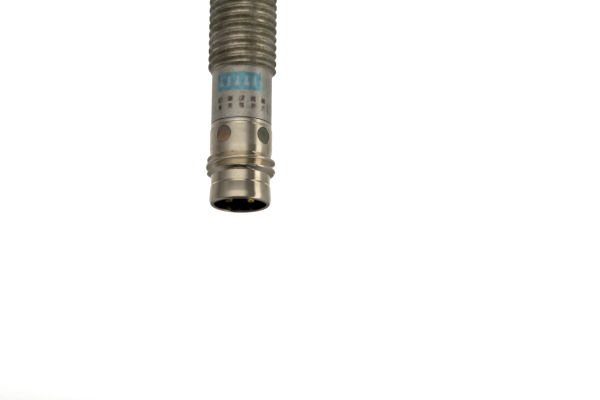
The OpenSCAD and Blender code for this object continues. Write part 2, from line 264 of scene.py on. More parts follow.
class Finish:
    """A node material that is put together call by call. Coordinates are the piece's own, in millimetres."""

    def __init__(self, name):
        self.material = bpy.data.materials.new(name)
        self.material.use_nodes = True
        self.tree = self.material.node_tree
        self.shader = self.tree.nodes["Principled BSDF"]
        coordinates = self.tree.nodes.new("ShaderNodeTexCoord")
        scale = self.tree.nodes.new("ShaderNodeVectorMath")
        scale.operation = "SCALE"
        scale.inputs["Scale"].default_value = 1 / MM
        self.tree.links.new(coordinates.outputs["Object"], scale.inputs[0])
        self.position = scale.outputs[0]
        split = self.node("ShaderNodeSeparateXYZ", self.position)
        self.x, self.y, self.z = split.outputs

    def plug(self, socket, value):
        """Links a socket to another node's output, or sets its value."""
        if isinstance(value, bpy.types.NodeSocket):
            self.tree.links.new(value, socket)
        elif isinstance(value, (tuple, list)) and len(value) == 3 and socket.type == "RGBA":
            socket.default_value = (*value, 1)
        else:
            socket.default_value = value

    def node(self, kind, *inputs, **settings):
        """A new node with these settings and, in order, these inputs."""
        made = self.tree.nodes.new(kind)
        for key, value in settings.items():
            setattr(made, key, value)
        for socket, value in zip(made.inputs, inputs):
            if value is not None:
                self.plug(socket, value)
        return made

    def math(self, operation, a, b=None, clamp=False):
        """One arithmetic step."""
        return self.node("ShaderNodeMath", a, b, operation=operation, use_clamp=clamp).outputs[0]

    def turned(self):
        """Distance from the sensor's axis."""
        squares = [self.math("MULTIPLY", side, side) for side in (self.x, self.y)]
        return self.math("SQRT", self.math("ADD", *squares))

    def angle(self):
        """Angle about the sensor's axis, in degrees."""
        return self.math("MULTIPLY", self.math("ARCTAN2", self.y, self.x), 1 / DEG)

    def vector(self, x, y, z):
        """A vector of three values."""
        return self.node("ShaderNodeCombineXYZ", x, y, z).outputs[0]

    def stretched(self, x, y, z):
        """The position, scaled along each axis."""
        made = self.node("ShaderNodeVectorMath", self.position, (x, y, z), operation="MULTIPLY")
        return made.outputs[0]

    def noise(self, scale, detail=3, rough=0.55, at=None, distort=0.0):
        """A random field from 0 to 1, at the position unless another vector is given."""
        made = self.tree.nodes.new("ShaderNodeTexNoise")
        self.plug(made.inputs["Vector"], at or self.position)
        made.inputs["Scale"].default_value = scale
        made.inputs["Detail"].default_value = detail
        made.inputs["Roughness"].default_value = rough
        made.inputs["Distortion"].default_value = distort
        return made.outputs["Fac"]

    def cells(self, scale):
        """Distance to the nearest of a field of random points."""
        made = self.node("ShaderNodeTexVoronoi", feature="F1")
        self.plug(made.inputs["Vector"], self.position)
        made.inputs["Scale"].default_value = scale
        return made.outputs["Distance"]

    def remap(self, value, a, b, to_a=0.0, to_b=1.0):
        """An S-curve from to_a, where the value is a, to to_b, where it is b."""
        made = self.tree.nodes.new("ShaderNodeMapRange")
        made.interpolation_type = "SMOOTHSTEP"
        self.plug(made.inputs["Value"], value)
        made.inputs["From Min"].default_value = a
        made.inputs["From Max"].default_value = b
        made.inputs["To Min"].default_value = to_a
        made.inputs["To Max"].default_value = to_b
        return made.outputs["Result"]

    def times(self, *values):
        """The product of the values."""
        product = values[0]
        for value in values[1:]:
            product = self.math("MULTIPLY", product, value)
        return product

    def most(self, *values):
        """The largest of the values."""
        top = values[0]
        for value in values[1:]:
            top = self.math("MAXIMUM", top, value)
        return top

    def mix(self, share, a, b):
        """Colour a at share 0 and colour b at share 1."""
        made = self.tree.nodes.new("ShaderNodeMix")
        made.data_type = "RGBA"
        for name, value in (("Factor_Float", share), ("A_Color", a), ("B_Color", b)):
            socket = next(s for s in made.inputs if s.identifier == name)
            self.plug(socket, value)
        return next(s for s in made.outputs if s.identifier == "Result_Color")

    def bump(self, height, distance, strength=1.0, under=None):
        """A normal for a height from 0 to 1 that stands distance millimetres tall."""
        made = self.tree.nodes.new("ShaderNodeBump")
        made.inputs["Strength"].default_value = strength
        made.inputs["Distance"].default_value = distance * MM
        self.plug(made.inputs["Height"], height)
        if under is not None:
            self.plug(made.inputs["Normal"], under)
        return made.outputs["Normal"]

    def done(self, **sockets):
        """Plugs the shader's sockets, named with _ for a space, and returns the material."""
        for name, value in sockets.items():
            self.plug(self.shader.inputs[name.replace("_", " ")], value)
        return self.material


# ---- materials ----

def nickel(
    name, bright, dull, darkening, wear, worn_r, clean_r, roughness,
    relief=1.0, clean_above=RIM, collar_matt=0.0,
):
    """Nickel plate with patches, turning marks, dark specks and uneven gloss.

    Below the height clean_above, a tarnish of the colour wear grows from the radius clean_r to the radius
    worn_r. The patches add to it. relief scales the marks and specks, and collar_matt roughens the collar.
    """
    f = Finish(name)
    r = f.turned()
    patches = f.noise(0.55, 4, 0.6)
    fine = f.noise(4.5, 4, 0.65)
    lines = f.noise(1.0, 4, 0.6, at=f.vector(f.times(r, 14.0), 0.0, f.times(f.z, 14.0)))
    streaks = f.noise(1.0, 3, 0.6, at=f.stretched(3.5, 3.5, 0.35))
    worn = f.remap(r, clean_r, worn_r)
    worn = f.times(worn, f.remap(f.z, clean_above, clean_above + 0.1, 1.0, 0.0))
    grime = f.times(f.math("ADD", worn, f.remap(patches, 0.35, 0.75, -0.25, 0.35)), darkening)
    grime = f.math("MULTIPLY", grime, f.remap(fine, 0.25, 0.7, 0.55, 1.1), clamp=True)
    colour = f.mix(f.remap(patches, 0.3, 0.7), bright, dull)
    colour = f.mix(f.times(f.remap(lines, 0.42, 0.7), 0.35), colour, dull)
    colour = f.mix(grime, colour, wear)
    # Painted shade: the socket's wall is darkened inside, where shade falls in the recess
    socket = f.times(f.remap(r, SOCKET_R + 0.07, SOCKET_R + 0.01), f.remap(f.z, SHELF - 0.2, SHELF))
    colour = f.mix(f.times(socket, 0.93), colour, (0.11, 0.085, 0.055))
    # Small pits, in some areas only
    specks = f.remap(f.cells(1.15), 0.07, 0.12, 1.0, 0.0)
    specks = f.times(specks, f.remap(f.noise(0.9, 2), 0.46, 0.56))
    colour = f.mix(f.times(specks, 0.9 * relief), colour, (0.02, 0.016, 0.01))
    rough = f.math("ADD", f.remap(fine, 0.2, 0.8, roughness * 0.75, roughness * 1.35), f.times(grime, 0.28))
    rough = f.math("ADD", rough, f.times(f.remap(streaks, 0.4, 0.7), 0.06 * relief))
    rough = f.math("ADD", rough, f.times(f.remap(f.z, BAND_START + 0.05, BAND_START - 0.05), collar_matt))
    normal = f.bump(lines, 0.006 * relief, 0.6)
    normal = f.bump(f.noise(7.0, 5, 0.6), 0.012 * relief, 0.6, under=normal)
    normal = f.bump(f.math("SUBTRACT", 1.0, specks), 0.03 * relief, 0.7, under=normal)
    return f.done(Base_Color=colour, Metallic=1.0, Roughness=rough, Normal=normal)


def plastic(name, base, shade, roughness, grain=6.0, depth=0.01, **extra):
    """Moulded plastic or ceramic: mottled colour, uneven gloss and a fine grain."""
    f = Finish(name)
    mottle = f.noise(grain / 5, 3)
    colour = f.mix(f.remap(mottle, 0.3, 0.7), base, shade)
    fine = f.noise(grain, 5, 0.6)
    colour = f.mix(f.times(f.remap(fine, 0.5, 0.75), 0.4), colour, shade)
    rough = f.remap(fine, 0.25, 0.75, roughness - 0.08, roughness + 0.1)
    return f.done(Base_Color=colour, Roughness=rough, Normal=f.bump(fine, depth, 0.7), **extra)


def soft_metal(name, base, shade, roughness, shaded_side=0.0):
    """Small bright metal parts: gold pins, copper wire, solder. shaded_side paints shade onto what is at
    positive x, where a pin stands in shadow.
    """
    f = Finish(name)
    grain = 5.0
    patches = f.noise(grain / 3, 3)
    colour = f.mix(f.remap(patches, 0.35, 0.7), base, shade)
    fine = f.noise(grain, 4, 0.6)
    # Painted shade: metal at positive x, such as pin 1, is darkened as though it stood in shadow
    darkening = f.times(f.remap(f.math("ADD", f.x, f.times(fine, 0.4)), 0.2, 0.8), shaded_side)
    colour = f.mix(darkening, colour, (0.07, 0.045, 0.02))
    rough = f.remap(fine, 0.3, 0.75, roughness - 0.05, roughness + 0.12)
    return f.done(Base_Color=colour, Metallic=1.0, Roughness=rough, Normal=f.bump(fine, 0.006, 0.7))


def lens(name, deep, pale, glow, glow_side):
    """A tinted lens over a dark well, with a lighter patch where the lamp shows through."""
    f = Finish(name)
    cloud = f.noise(1.6, 3, 0.6, distort=0.4)
    colour = f.mix(f.remap(cloud, 0.35, 0.7), deep, pale)
    spot = f.remap(f.math("ADD", f.z, f.times(cloud, 0.8)), WINDOW_Z + 0.25, WINDOW_Z + 1.15)
    colour = f.mix(f.times(spot, glow_side), colour, glow)
    fine = f.noise(6.0, 4)
    rough = f.remap(fine, 0.3, 0.7, 0.3, 0.5)
    return f.done(
        Base_Color=colour, Roughness=rough, Normal=f.bump(fine, 0.012, 0.6),
        Coat_Weight=0.1, Coat_Roughness=0.2, IOR=1.45,
    )


def label_foil():
    """Grey foil with a blue band and rows of worn, meaningless print marks."""
    f = Finish("label_foil")
    angle = f.angle()
    grain = f.noise(5.0, 4, 0.65)
    stain = f.noise(0.7, 4, 0.6)
    paper = f.mix(f.remap(grain, 0.3, 0.72), (0.49, 0.455, 0.385), (0.34, 0.32, 0.255))
    paper = f.mix(f.times(f.remap(stain, 0.5, 0.75), 0.55), paper, (0.23, 0.205, 0.15))
    around = f.math("ADD", angle, f.remap(f.noise(3.0, 3), 0.2, 0.8, -1.6, 1.6))
    along = f.math("ADD", f.z, f.remap(f.noise(4.0, 3), 0.2, 0.8, -0.05, 0.05))

    def window(value, a, b, soft):
        """1 between a and b, with soft edges."""
        return f.times(f.remap(value, a - soft, a + soft), f.remap(value, b - soft, b + soft, 1.0, 0.0))

    # The printed band, across the sensor's front
    band = window(around, *BAND_ENDS, 1.2)
    band = f.times(band, window(along, BAND_LOW, BAND_LOW + BAND_HEIGHT, 0.05))
    rubbed = f.remap(f.noise(2.2, 4, 0.7), 0.30, 0.44)
    blue = f.mix(f.remap(f.noise(1.6, 3), 0.35, 0.7), (0.16, 0.37, 0.42), (0.085, 0.25, 0.30))
    colour = f.mix(f.times(band, f.math("ADD", f.times(rubbed, 0.25), 0.72)), paper, blue)

    def row(step, first, last, middle, tall, half_width):
        """Bars step degrees apart, from the angle first to the angle last, tall millimetres high."""
        # Each bar stands in the middle of a cell, and 720 whole cells keep the sum above zero
        cell = f.math("FRACT", f.math("DIVIDE", f.math("ADD", angle, 720.5 * step - first), step))
        bar = window(cell, 0.5 - half_width / step, 0.5 + half_width / step, 0.09)
        upright = window(along, middle - tall / 2, middle + tall / 2, 0.1)
        return f.times(bar, upright, window(angle, first - step / 2, last + step / 2, 1.0))

    wear = f.remap(f.noise(2.6, 4, 0.75), 0.33, 0.58, 0.25, 1.0)
    # Dark marks, each broken in two, and fainter ones beside them
    dots = f.most(
        row(22.4, -134.8, -45.2, MARKS_Z - 0.42, 0.62, 5.2),
        row(22.4, -134.8, -45.2, MARKS_Z + 0.42, 0.62, 4.2),
    )
    colour = f.mix(f.times(dots, wear, 0.95), colour, (0.085, 0.045, 0.04))
    faint = row(11.0, -171.0, -149.0, MARKS_Z + 0.3, 1.3, 2.6)
    colour = f.mix(f.times(faint, wear, 0.55), colour, (0.10, 0.08, 0.06))
    # Pale strokes on the band, and small ones beside it
    pale = f.most(
        row(16.8, -115.2, -48.0, BAND_LOW + 1.05, 1.1, 2.6),
        row(16.8, -115.2, -48.0, BAND_LOW + 1.45, 0.4, 4.6),
    )
    colour = f.mix(f.times(pale, wear, 0.75), colour, (0.50, 0.53, 0.54))
    small = row(5.2, -165.0, -134.0, BAND_LOW + 1.1, 1.7, 1.3)
    colour = f.mix(f.times(small, wear, 0.6), colour, (0.12, 0.19, 0.19))
    specks = f.times(f.remap(f.cells(1.6), 0.07, 0.11, 1.0, 0.0), f.remap(f.noise(1.3, 2), 0.48, 0.56))
    colour = f.mix(f.times(specks, 0.85), colour, (0.03, 0.03, 0.02))
    # Dirt along the label's two ends
    edge = f.remap(f.z, NECK_START + 0.3, NECK_START + 0.04)
    colour = f.mix(f.times(edge, f.remap(grain, 0.4, 0.65), 0.5), colour, (0.16, 0.145, 0.11))
    dirt = f.remap(f.math("ADD", f.z, f.times(stain, 0.1)), LIP_START - 0.08, LIP_START - 0.02)
    colour = f.mix(f.times(dirt, 0.9), colour, (0.02, 0.018, 0.012))
    rough = f.remap(grain, 0.25, 0.75, 0.3, 0.42)
    normal = f.bump(f.noise(9.0, 5, 0.6), 0.012, 0.6)
    normal = f.bump(stain, 0.05, 0.5, under=normal)
    return f.done(Base_Color=colour, Metallic=0.8, Roughness=rough, Normal=normal)


def board_finish():
    """Glass-fibre board under green solder mask, with the weave just showing."""
    f = Finish("board")
    across = f.node("ShaderNodeTexWave", bands_direction="X")
    along = f.node("ShaderNodeTexWave", bands_direction="Z")
    for wave in (across, along):
        f.plug(wave.inputs["Vector"], f.position)
        wave.inputs["Scale"].default_value = 2.4
        wave.inputs["Distortion"].default_value = 0.4
    weave = f.math("MULTIPLY", across.outputs["Fac"], along.outputs["Fac"])
    colour = f.mix(f.remap(weave, 0.1, 0.8), (0.02, 0.115, 0.045), (0.035, 0.17, 0.07))
    colour = f.mix(f.times(f.remap(f.noise(2.0, 3), 0.5, 0.7), 0.4), colour, (0.06, 0.15, 0.05))
    rough = f.remap(f.noise(6.0, 3), 0.3, 0.7, 0.28, 0.45)
    return f.done(Base_Color=colour, Roughness=rough, Normal=f.bump(weave, 0.01, 0.6))


FINISHES = {
    "nickel_barrel": nickel(
        "nickel_barrel", (0.92, 0.86, 0.74), (0.74, 0.68, 0.55), 1.0, (0.26, 0.23, 0.14),
        ROOT_R + 0.34, ROOT_R + 0.06, 0.2, 0.8, NECK_START,
    ),
    "nickel_shell": nickel(
        "nickel_shell", (0.80, 0.70, 0.54), (0.67, 0.58, 0.43), 0.5, (0.20, 0.16, 0.09),
        WAIST_R - 0.2, COLLAR_R - 0.02, 0.06, 0.15, RING_END - 0.4, 0.16,
    ),
    "nickel_nut": nickel(
        "nickel_nut", (0.66, 0.61, 0.52), (0.52, 0.475, 0.39), 0.5, (0.14, 0.12, 0.08),
        ROOT_R, CREST_R + 0.6, 0.24,
    ),
    "washer_steel": nickel(
        "washer_steel", (0.56, 0.55, 0.53), (0.42, 0.41, 0.38), 0.45, (0.16, 0.13, 0.09),
        CREST_R, CREST_R + 0.8, 0.3,
    ),
    "label_foil": label_foil(),
    "board": board_finish(),
    "face_plastic": plastic("face_plastic", (0.035, 0.16, 0.28), (0.025, 0.115, 0.2), 0.42, 5.0, 0.012),
    "ferrite": plastic("ferrite", (0.035, 0.033, 0.03), (0.02, 0.019, 0.018), 0.55, 9.0, 0.02),
    "former_plastic": plastic("former_plastic", (0.74, 0.70, 0.58), (0.62, 0.57, 0.46), 0.4),
    "chip_black": plastic("chip_black", (0.022, 0.022, 0.024), (0.012, 0.012, 0.013), 0.5, 9.0),
    "chip_ceramic": plastic("chip_ceramic", (0.36, 0.25, 0.15), (0.27, 0.18, 0.10), 0.45, 9.0),
    "lamp_amber": plastic("lamp_amber", (0.62, 0.30, 0.05), (0.48, 0.20, 0.03), 0.25, 6.0),
    "lamp_green": plastic("lamp_green", (0.12, 0.38, 0.10), (0.07, 0.26, 0.06), 0.25, 6.0),
    "clear_guide": plastic(
        "clear_guide", (0.72, 0.76, 0.74), (0.62, 0.67, 0.64), 0.2, 4.0, Transmission_Weight=0.6,
    ),
    "insulator_black": plastic("insulator_black", (0.02, 0.017, 0.014), (0.034, 0.026, 0.018), 0.42, 6.0),
    "resin": plastic("resin", (0.12, 0.065, 0.025), (0.08, 0.04, 0.015), 0.3, 3.0),
    # The gold pins get painted shade on the side at positive x
    "gold": soft_metal("gold", (0.80, 0.50, 0.13), (0.60, 0.35, 0.08), 0.16, shaded_side=0.9),
    "copper_wire": soft_metal("copper_wire", (0.72, 0.32, 0.13), (0.55, 0.22, 0.09), 0.3),
    "solder": soft_metal("solder", (0.60, 0.61, 0.62), (0.42, 0.42, 0.43), 0.3),
    "lens_amber": lens("lens_amber", (0.055, 0.035, 0.021), (0.095, 0.062, 0.038), (0.17, 0.09, 0.03), 0.6),
    "lens_green": lens("lens_green", (0.036, 0.034, 0.021), (0.06, 0.055, 0.036), (0.075, 0.075, 0.045), 0.5),
}


# ---- barrel and face cap ----

def barrel_piece():
    """The threaded barrel, with its chamfered ends, the neck under the label and the bore."""
    angles = columns_of(BARREL_COLUMNS)
    face_r = CREST_R - FACE_CHAMFER
    slope = (CREST_R - NECK_R) / (NECK_START - THREAD_END)
    worn_off = 0.004

    def shape(u, z):
        """Radius of the barrel's thread."""
        r = CREST_R - worn_off - (1 - thread_height(u)) * THREAD_DEPTH
        if r > CREST_R - 0.05:
            r = nicks(r, (u * 9, z, 0))
        # The grooves run out into the chamfers at both ends
        r = max(r, face_r - z, NECK_R - 2 * (NECK_START - z) * (NECK_R - ROOT_R))
        return min(r, face_r + z, NECK_R + (NECK_START - z) * slope)

    skin = Skin()
    skin.thread(0, NECK_START, BARREL_CREST, angles, shape)
    skin.lathe(rounded([
        (NECK_R, NECK_START, 0), (NECK_R, LIP_START, 0.03), (LIP_R, LIP_START + 0.01, 0.03),
        (LIP_R, BARREL_END, 0.07), (BORE_R, BARREL_END, 0.05), (BORE_R, 0, 0.1), (face_r, 0, 0),
    ]), angles)
    fit(skin.build("barrel_body"), "sensor", "nickel_barrel", "barrel")


def face_cap_piece():
    """The plastic cup in the sensing end, with a face that is very slightly hollow."""
    angles = columns_of(BARREL_COLUMNS)
    r = radius("face_cap")
    depth = high("face_cap")
    wall = 0.3
    floor = 0.6
    skin = Skin()
    skin.lathe([(0, 0.02), (r * 0.5, 0.018), (r * 0.85, 0.01)], angles)
    skin.lathe(rounded([
        (r * 0.85, 0.01, 0), (r, 0, 0.12), (r, depth, 0.1), (r - wall, depth, 0.1), (r - wall, floor, 0.1),
        (0, floor, 0),
    ]), angles)
    fit(skin.build("face_cap_disc"), "sensor", "face_plastic", "face_cap")


# ---- connector shell with its four lamp windows ----

BLOCK_COLUMNS = 12
BLOCK_ROWS = 12
BLOCK_HALF = 1.08


def block_edge():
    """The columns and rows round the edge of the square that surrounds a window, counter-clockwise."""
    m, n = BLOCK_COLUMNS, BLOCK_ROWS // 2
    right = [(m, i) for i in range(0, n)]
    top = [(d, n) for d in range(m, -m, -1)]
    left = [(-m, i) for i in range(n, -n, -1)]
    bottom = [(d, -n) for d in range(-m, m)]
    return right + top + left + bottom + [(m, i) for i in range(-n, 0)]


def window_band(skin, outer, inner):
    """Both walls of the collar round the windows, and each window's edge."""
    step = 360 / SHELL_COLUMNS
    rise = 2 * BLOCK_HALF / BLOCK_ROWS
    edge = [(d * step, i * rise) for d, i in block_edge()]
    turns = [math.atan2(z, a * DEG * outer) for a, z in edge]

    def on_wall(r, hole, share, centre):
        """A loop between the window's edge, at share 0, and the square's edge, at share 1."""
        loop = []
        for (a, z), turn in zip(edge, turns):
            bend = math.asin(hole * math.cos(turn) / r) / DEG
            lift = hole * math.sin(turn)
            loop.append(place(r, centre + bend + (a - bend) * share, WINDOW_Z + lift + (z - lift) * share))
        return loop

    bevel = 0.035
    edge_rings = [
        (outer, WINDOW_R + bevel), (outer - bevel / 2, WINDOW_R + 0.01), (outer - 2 * bevel, WINDOW_R),
        (inner, WINDOW_R),
    ]
    shares = [1, 0.75, 0.5, 0.28, 0.1]
    centres = list(LENSES.values())
    for centre in centres:
        loops = [on_wall(outer, WINDOW_R + bevel, s, centre) for s in shares]
        loops += [on_wall(r, hole, 0, centre) for r, hole in edge_rings]
        loops += [on_wall(inner, WINDOW_R, s, centre) for s in reversed(shares)]
        skin.grid(loops)
    for r in (outer, inner):
        for k, centre in enumerate(centres):
            ahead = (centres[(k + 1) % 4] - centre) % 360
            rows = []
            for i in range(BLOCK_ROWS + 1):
                z = WINDOW_Z - BLOCK_HALF + i * rise
                spots = range(BLOCK_COLUMNS, round(ahead / step) - BLOCK_COLUMNS + 1)
                rows.append([place(r, centre + j * step, z) for j in spots])
            skin.grid(rows, closed=False)


def shell_piece():
    """The turned shell: spigot, collar with windows, ring thread, snap groove, plug sleeve and socket."""
    angles = columns_of(SHELL_COLUMNS, LENSES["lens_amber_1"])
    windows_low = WINDOW_Z - BLOCK_HALF
    windows_high = WINDOW_Z + BLOCK_HALF
    spigot_r = BORE_R - 0.01
    worn_off = 0.004
    start_fall = 0.5
    start_rise = 2.2
    end_slope = 1.5
    last_ridge = 0.3
    cone = 0.03

    def shape(u, z):
        """Radius of the ring thread."""
        r = ROOT_R + thread_height(u) * THREAD_DEPTH - worn_off
        if r > CREST_R - 0.06:
            r = nicks(r, (u * 9, z * 1.3, 5), 0.03)
        # The thread starts on a cone, and a low ridge closes its last groove before it ends on another
        r = max(r, RELIEF_R - (z - RING_START) * start_fall)
        r = max(r, WAIST_R + end_slope * (last_ridge - abs(RING_END - z - last_ridge)))
        return min(r, RELIEF_R + (z - RING_START) * start_rise, WAIST_R + end_slope * (RING_END - z))

    skin = Skin()
    skin.lathe(rounded([
        (LAMP_BORE_R, windows_low, 0), (LAMP_BORE_R, SHELL_START, 0.05), (spigot_r, SHELL_START, 0.08),
        (spigot_r, COLLAR_START, 0.02), (RELIEF_R, COLLAR_START, 0.03),
        (RELIEF_R + 0.02, COLLAR_START + 0.08, 0.03), (COLLAR_R, COLLAR_START + 0.4, 0.25),
        (COLLAR_R, windows_low, 0),
    ]), angles)
    window_band(skin, COLLAR_R, LAMP_BORE_R)
    skin.lathe(rounded([
        (COLLAR_R, windows_high, 0), (COLLAR_R, BAND_START, 0.02), (BAND_R, BAND_START + 0.04, 0.02),
        (BAND_R - 0.04, COLLAR_END, 0.05), (RELIEF_R, RELIEF_START, 0.06), (RELIEF_R, RING_START, 0),
    ]), angles)
    skin.thread(RING_START, RING_END - cone, CONNECTOR_CREST, angles, shape)
    skin.lathe(rounded([
        (WAIST_R + end_slope * cone, RING_END - cone, 0), (WAIST_R, RING_END, 0),
        (WAIST_R, RING_END + cone, 0), (WAIST_R, SNAP_START, 0.06), (SNAP_R, SNAP_START + 0.1, 0.04),
        (SNAP_R, SNAP_START + 0.2, 0.04), (SLEEVE_R - 0.1, SNAP_START + 0.36, 0.1),
        (SLEEVE_R - 0.015, RIM - 0.95, 0.4), (SLEEVE_R, RIM - 0.7, 0.2), (SLEEVE_R - 0.02, RIM - 0.45, 0.15),
        (SLEEVE_R - 0.13, RIM - 0.12, 0.12), (SLEEVE_R - 0.28, RIM, 0.08),
        (SOCKET_R + 0.1, RIM, 0.05), (SOCKET_R, RIM - 0.12, 0.06), (SOCKET_R, SHELF, 0.05),
        (LAMP_BORE_R, SHELF, 0.03), (LAMP_BORE_R, windows_high, 0),
    ], steps=4), angles)
    fit(skin.build("connector_body"), "sensor", "nickel_shell", "connector_shell")


def lens_piece(name, angle, slot):
    """A round plug that follows the collar's curve, with a softened edge."""
    reach = WINDOW_R - 0.012
    face = COLLAR_R - 0.035
    back = LAMP_BORE_R + 0.012
    loops = [
        (face, 0), (face, 0.35), (face, 0.65), (face, 0.86), (face - 0.006, 0.94), (face - 0.03, 0.985),
        (face - 0.08, 1), (back, 1), (back, 0.6), (back, 0),
    ]
    skin = Skin()
    rows = []
    for r, share in loops:
        row = []
        for turn in columns_of(64):
            across = reach * share * math.cos(turn * DEG)
            lift = reach * share * math.sin(turn * DEG)
            row.append(place(r, angle + math.asin(across / r) / DEG, WINDOW_Z + lift))
        rows.append(row)
    skin.grid(rows)
    fit(skin.build(name + "_disc"), "sensor", slot, name)


# ---- contacts ----

def pin_piece(node):
    """A contact pin: round tip, plug length, shoulder and solder tail. Pin 4's tail is bent to the board."""
    top = high(node)
    shoulder_high = INSULATOR_TOP - 0.1
    shoulder_low = SHELF + 0.05
    straight = node != "contact_pin_4"
    tail_end = low(node) if straight else SHELF - 0.4
    outline = rounded([
        (0, top, 0), (0.34, top, 0.12), (PIN_R, top - 0.36, 0.3), (PIN_R, shoulder_high, 0),
        (PIN_SHOULDER_R, shoulder_high, 0.04), (PIN_SHOULDER_R, shoulder_low, 0.05),
        (PIN_TAIL_R, shoulder_low, 0.03), (PIN_TAIL_R, tail_end, 0.08), (0, tail_end, 0),
    ], steps=5)
    skin = Skin()
    skin.lathe(outline, columns_of(48))
    if not straight:
        sides = 32
        wire_r = 0.26
        bend = PIN_CIRCLE_R - 0.62
        path = [
            Vector((0, 0, tail_end + 0.2)), Vector((0, 0, tail_end - 0.1)),
            Vector((0, bend, WINDOW_Z - 0.5)), Vector((0, bend, WINDOW_Z - 1.3)),
        ]
        rows = []
        for point in path:
            rows.append([tuple(point + Vector(place(wire_r, a, 0))) for a in columns_of(sides)])
        rows = [[tuple(path[0])] * sides] + rows + [[tuple(path[-1])] * sides]
        skin.grid(rows)
    spot = Vector(place(PIN_CIRCLE_R, PIN_ANGLES[node], 0))
    skin.points = [tuple(Vector(p) + spot) for p in skin.points]
    fit(skin.build(node + "_body"), "sensor", "gold", node)


# ---- label ----

def label_piece():
    """A foil strip wound once round the neck, with a short overlap at the back."""
    start = 93.0
    sweep = 368.0
    lift_off = 357
    count = 184
    bottom = low("label")
    top = high("label")
    inner = NECK_R + 0.008
    thick = 0.045
    soft = 0.012
    seam = (0, bottom + 0.8, 0)
    section = rounded([
        seam, (0, bottom, soft), (thick, bottom, soft), (thick, top, soft), (0, top, soft), seam,
    ], steps=2)[:-1]
    rows = []
    for r, z in section:
        row = []
        for j in range(count + 1):
            turn = j / count * sweep
            lift = (thick + 0.006) * smooth((turn - lift_off) / 4)
            ripple = 0.006 * noise.noise(Vector((turn * 0.06, z * 1.4, 0)))
            slack = 0.02 * noise.noise(Vector((turn * 0.02, z * 0.3, 9)))
            row.append(place(inner + r + lift + ripple, start + turn, min(max(z + slack, bottom), top)))
        rows.append(row)
    rows.append(rows[0])
    skin = Skin()
    skin.grid(rows, closed=False)
    for j in (0, count):
        ring = [row[j] for row in rows[:-1]]
        first = len(skin.points)
        skin.points.extend(ring)
        skin.faces.append(tuple(range(first, first + len(ring))))
    fit(skin.build("label_strip"), "sensor", "label_foil", "label")


# ---- nuts and washers ----

def nut_piece(node, body):
    """A hexagon nut with bevelled ends, softened corners and a real inside thread."""
    bottom = low(node)
    top = high(node)
    flat_r = (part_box(node)[1].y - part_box(node)[0].y) / MM / 2
    minor = 3.57
    groove_r = CREST_R + 0.03
    mouth_r = CREST_R + 0.5
    mouth_slope = 1.15
    face_r = flat_r - 0.25
    angles = columns_of(144)
    clearance = 0.04

    def hexagon(angle):
        """Distance from the axis to the hexagon's outline, with softened corners."""
        power = 90
        total = sum(max(0, math.cos((angle - 30 - 60 * k) * DEG)) ** power for k in range(6))
        return flat_r * total ** (-1 / power)

    def outline(angle):
        """The nut's outside at one angle, from mouth to mouth."""
        corner = hexagon(angle)
        drop = max((corner - face_r) * math.tan(30 * DEG), 0.05)
        return rounded([
            (mouth_r, bottom, 0), (face_r, bottom, 0.06), (corner, bottom + drop, 0.07),
            (corner, top - drop, 0.07), (face_r, top, 0.06), (mouth_r, top, 0),
        ])

    def inside(u, z):
        """Radius of the nut's thread, which opens towards both mouths."""
        r = max(groove_r - (1 - thread_height(abs(u) - clearance)) * THREAD_DEPTH, minor)
        return max(r, mouth_r - (z - bottom) * mouth_slope, mouth_r - (top - z) * mouth_slope)

    skin = Skin()
    outlines = [outline(a) for a in angles]
    rows = []
    for ring in zip(*outlines):
        rows.append([place(r, a, z) for a, (r, z) in zip(angles, ring)])
    skin.grid(rows)
    skin.thread(bottom, top, BARREL_CREST, angles, inside)
    fit(skin.build(node + "_body"), body, "nickel_nut", node)


def washer_piece(node, body):
    """An external-tooth lock washer, punched from sheet, with its teeth twisted."""
    corner_low, corner_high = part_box(node)
    middle = (corner_low.z + corner_high.z) / 2 / MM
    teeth = 14
    thick = 0.6
    bore = CREST_R + 0.15
    ring_r = 5.8
    ring_steps = [bore, 4.6, 5.2, ring_r]
    tip = 7.43
    half = 0.75
    twist = 14
    twist_end = 0.45
    tooth_columns = 6
    gap_columns = 5
    tooth_angle = math.asin(half / ring_r) / DEG
    gap_angle = 360 / teeth - 2 * tooth_angle
    gap_spots = [tooth_angle + gap_angle * j / gap_columns for j in range(gap_columns + 1)]
    across = [-half + 2 * half * j / tooth_columns for j in range(tooth_columns + 1)]
    tooth_spots = [math.asin(y / ring_r) / DEG for y in across]
    radial = [0, 0.06, 0.15, 0.28, 0.45, 0.7, 0.92, 1]
    sides = (-1, 0, 1)

    def tooth_point(base, share, y, side):
        """A point of the tooth at angle base, share of the way to its tip, y across and on that side."""
        start_x = math.sqrt(ring_r ** 2 - y * y)
        x = start_x + (tip - start_x) * share
        turn = twist * smooth(share / twist_end) * DEG
        h = side * thick / 2
        spin = base * DEG
        twisted_y = y * math.cos(turn) - h * math.sin(turn)
        return (
            x * math.cos(spin) - twisted_y * math.sin(spin), x * math.sin(spin) + twisted_y * math.cos(spin),
            middle + y * math.sin(turn) + h * math.cos(turn),
        )

    skin = Skin()
    for k in range(teeth):
        base = 360 * k / teeth
        for side in (-1, 1):
            z = middle + side * thick / 2
            for group in (gap_spots, tooth_spots):
                skin.grid([[place(r, base + a, z) for a in group] for r in ring_steps], closed=False)
        for r, group in ((bore, gap_spots), (bore, tooth_spots), (ring_r, gap_spots)):
            rows = [[place(r, base + a, middle + side * thick / 2) for a in group] for side in sides]
            skin.grid(rows, closed=False)
        for side in (-1, 1):
            skin.grid([[tooth_point(base, s, y, side) for y in across] for s in radial], closed=False)
        for y in (-half, half):
            skin.grid([[tooth_point(base, s, y, side) for s in radial] for side in sides], closed=False)
        skin.grid([[tooth_point(base, 1, y, side) for y in across] for side in sides], closed=False)
    piece = skin.build(node + "_body", sharp=30)
    bevel = piece.modifiers.new("softened_edges", "BEVEL")
    bevel.width = 0.05 * MM
    bevel.segments = 2
    bevel.limit_method = "ANGLE"
    bevel.angle_limit = 50 * DEG
    fit(piece, body, "washer_steel", node)


